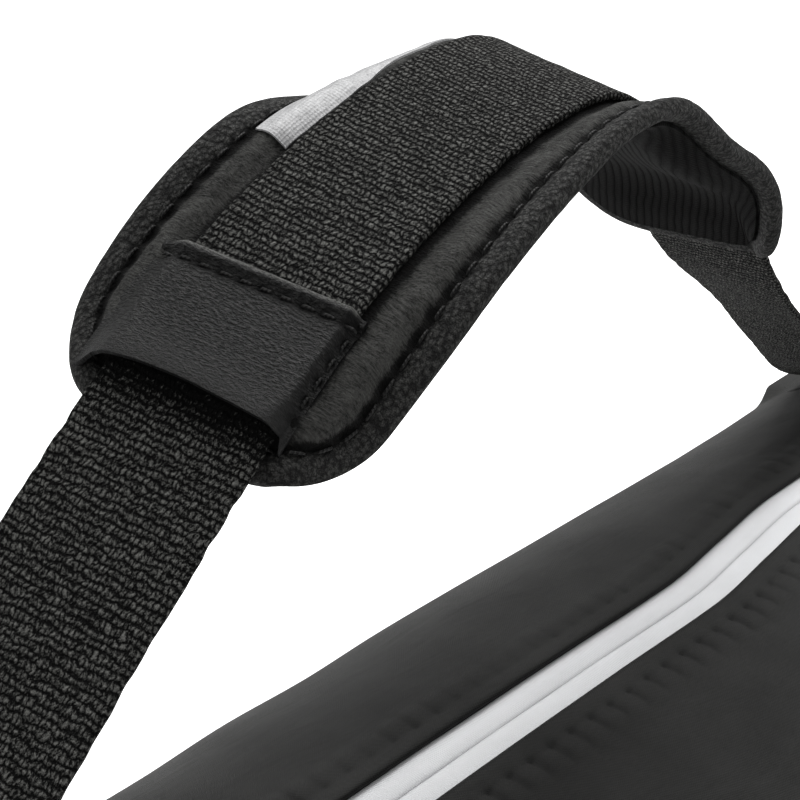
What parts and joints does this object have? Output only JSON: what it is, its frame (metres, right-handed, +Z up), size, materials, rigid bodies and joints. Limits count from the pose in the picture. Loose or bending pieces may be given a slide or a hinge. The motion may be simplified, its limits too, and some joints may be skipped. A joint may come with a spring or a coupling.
{
  "type": "wheeled snowboard bag",
  "caption": "Long soft snowboard bag standing on its edge, zipped along the crest, with wheels at one end, a haul handle at the other and a padded shoulder strap arched over the top.",
  "frame": {"origin": "centre of the bounding box's bottom face, on the surface that the bag stands on", "axes": "+X along the bag from the wheels to the haul handle, +Y across it towards the strap's far anchor, +Z up"},
  "size_m": [1.71, 0.21, 0.4923],
  "materials": {
    "black_fabric": "smooth matt black woven polyester",
    "base_fabric": "coarse matt black coated fabric",
    "grey_zip": "light grey zip tape",
    "black_webbing": "coarse ribbed black webbing",
    "pad_suede": "napped black suede cloth",
    "pad_ribbing": "ribbed black cloth",
    "sleeve_leather": "matt black grained leather",
    "reflective": "silver-grey reflective tape",
    "black_plastic": "moulded black plastic",
    "tyre_rubber": "matt black rubber",
    "hub_plastic": "dark grey plastic",
    "steel": "plain steel",
    "dark_metal": "dark coated metal"
  },
  "bodies": {
    "bag": {"side_panel_near": "black_fabric", "side_panel_far": "black_fabric", "end_panel_wheels": "black_fabric", "end_panel_nose": "black_fabric", "base_panel": "base_fabric", "zip_tape_near": "grey_zip", "zip_tape_far": "grey_zip", "zip_slider": "dark_metal", "zip_pull": "dark_metal", "shoulder_webbing": "black_webbing", "pad_core": "pad_suede", "pad_lining": "pad_ribbing", "pad_edge_binding": "pad_ribbing", "pad_sleeve_near": "sleeve_leather", "pad_sleeve_far": "sleeve_leather", "reflective_strip": "reflective", "strap_anchor_near": "black_fabric", "strap_anchor_far": "black_fabric", "wheel_housing": "black_plastic", "wheel_axle": "steel", "haul_handle": "black_webbing"},
    "near_wheel": {"wheel_hub_near": "hub_plastic", "wheel_tyre_near": "tyre_rubber"},
    "far_wheel": {"wheel_hub_far": "hub_plastic", "wheel_tyre_far": "tyre_rubber"}
  },
  "joints": [
    {"name": "near_wheel_spin", "type": "hinge", "parent": "bag", "child": "near_wheel", "pos_m": [-0.819, 0, 0.038], "axis": [0, 1, 0], "continuous": true},
    {"name": "far_wheel_spin", "type": "hinge", "parent": "bag", "child": "far_wheel", "pos_m": [-0.819, 0, 0.038], "axis": [0, 1, 0], "continuous": true}
  ]
}
